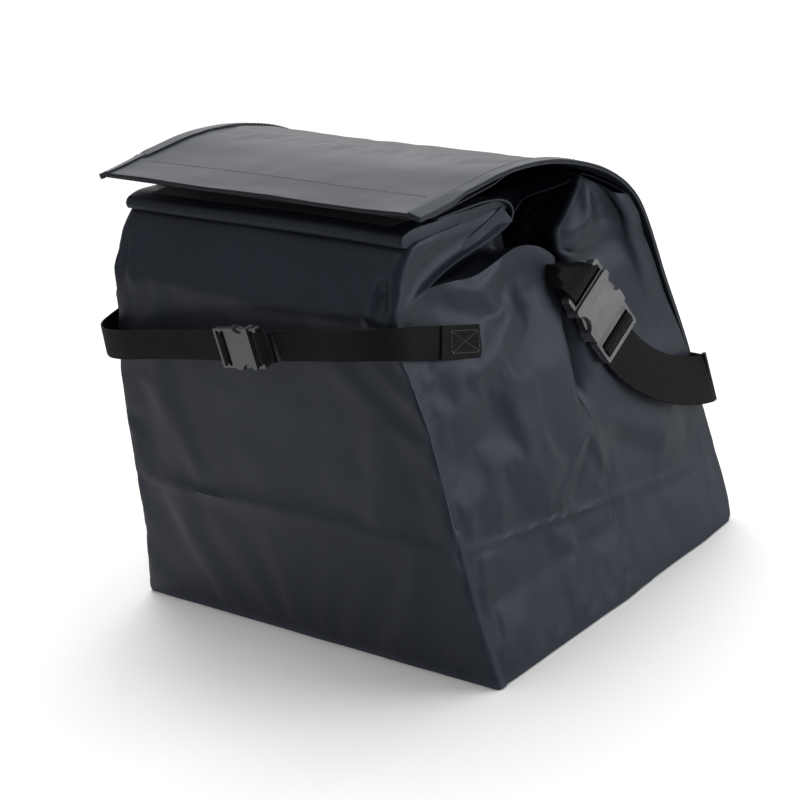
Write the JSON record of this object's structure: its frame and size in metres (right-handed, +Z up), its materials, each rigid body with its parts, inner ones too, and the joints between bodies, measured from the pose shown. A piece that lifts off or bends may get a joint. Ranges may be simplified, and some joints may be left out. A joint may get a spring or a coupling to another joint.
{
  "type": "pannier bag",
  "caption": "Soft box-shaped tarpaulin pannier bag with a rolled collar, a lid folded over from the front, a buckled strap round the front and a strap that fixes it to a carrier hoop.",
  "frame": {"origin": "centre of the flat underside of the base", "axes": "+X the bag's right, -Y the rider's side (the back panel that stands against the carrier hoop), +Z up"},
  "size_m": [0.39, 0.3448, 0.373],
  "materials": {
    "tarpaulin": "coated, satin",
    "webbing": "woven, matt",
    "board": "fine grained",
    "tape": "hook and loop pile",
    "buckle": "moulded, semi-gloss",
    "prong": "moulded, semi-gloss"
  },
  "bodies": {
    "bag": {"base_panel": "tarpaulin", "rear_panel": "tarpaulin", "front_panel": "tarpaulin", "side_gusset_right": "tarpaulin", "side_gusset_left": "tarpaulin", "rolled_collar": "tarpaulin", "front_apron": "tarpaulin", "front_strap": "webbing", "anchor_webbing_right": "webbing", "anchor_webbing_left": "webbing", "hoop_strap_right": "webbing", "hoop_strap_left": "webbing", "base_board": "board", "back_board": "board", "collar_slat": "board", "collar_loop_tape": "tape", "right_buckle_socket": "buckle", "right_buckle_plug": "buckle", "left_buckle_socket": "buckle", "left_buckle_plug": "buckle", "hoop_buckle_socket": "buckle", "hoop_buckle_plug": "buckle"},
    "lid": {"lid_flap": "tarpaulin", "lid_board": "board", "lid_hook_tape": "tape"},
    "right_prong_front_body": {"right_prong_front": "prong"},
    "right_prong_rear_body": {"right_prong_rear": "prong"},
    "left_prong_front_body": {"left_prong_front": "prong"},
    "left_prong_rear_body": {"left_prong_rear": "prong"},
    "hoop_prong_upper_body": {"hoop_prong_upper": "prong"},
    "hoop_prong_lower_body": {"hoop_prong_lower": "prong"}
  },
  "joints": [
    {"name": "lid_fold", "type": "hinge", "parent": "bag", "child": "lid", "pos_m": [0, 0.1077, 0.31392], "axis": [-1, 0, 0], "range_deg": [0, 165]},
    {"name": "right_button_rear", "type": "hinge", "parent": "bag", "child": "right_prong_rear_body", "pos_m": [0.17707, 0.04075, 0.21429], "axis": [-0.9903, 0, -0.1392], "range_deg": [0, 12]},
    {"name": "right_button_front", "type": "hinge", "parent": "bag", "child": "right_prong_front_body", "pos_m": [0.17532, 0.06889, 0.2267], "axis": [0.9903, 0, 0.1392], "range_deg": [0, 12]},
    {"name": "left_button_rear", "type": "hinge", "parent": "bag", "child": "left_prong_rear_body", "pos_m": [-0.17707, 0.04075, 0.21429], "axis": [-0.9903, 0, 0.1392], "range_deg": [0, 12]},
    {"name": "left_button_front", "type": "hinge", "parent": "bag", "child": "left_prong_front_body", "pos_m": [-0.17532, 0.06889, 0.2267], "axis": [0.9903, 0, -0.1392], "range_deg": [0, 12]},
    {"name": "hoop_button_upper", "type": "hinge", "parent": "bag", "child": "hoop_prong_upper_body", "pos_m": [0.0016, -0.1747, 0.27696], "axis": [0, 1, 0], "range_deg": [0, 12]},
    {"name": "hoop_button_lower", "type": "hinge", "parent": "bag", "child": "hoop_prong_lower_body", "pos_m": [0.00455, -0.1747, 0.25591], "axis": [0, -1, 0], "range_deg": [0, 12]}
  ],
  "couplings": [
    {"joint": "right_button_front", "follows": "right_button_rear", "ratio": 1},
    {"joint": "left_button_front", "follows": "left_button_rear", "ratio": 1},
    {"joint": "hoop_button_lower", "follows": "hoop_button_upper", "ratio": 1}
  ]
}
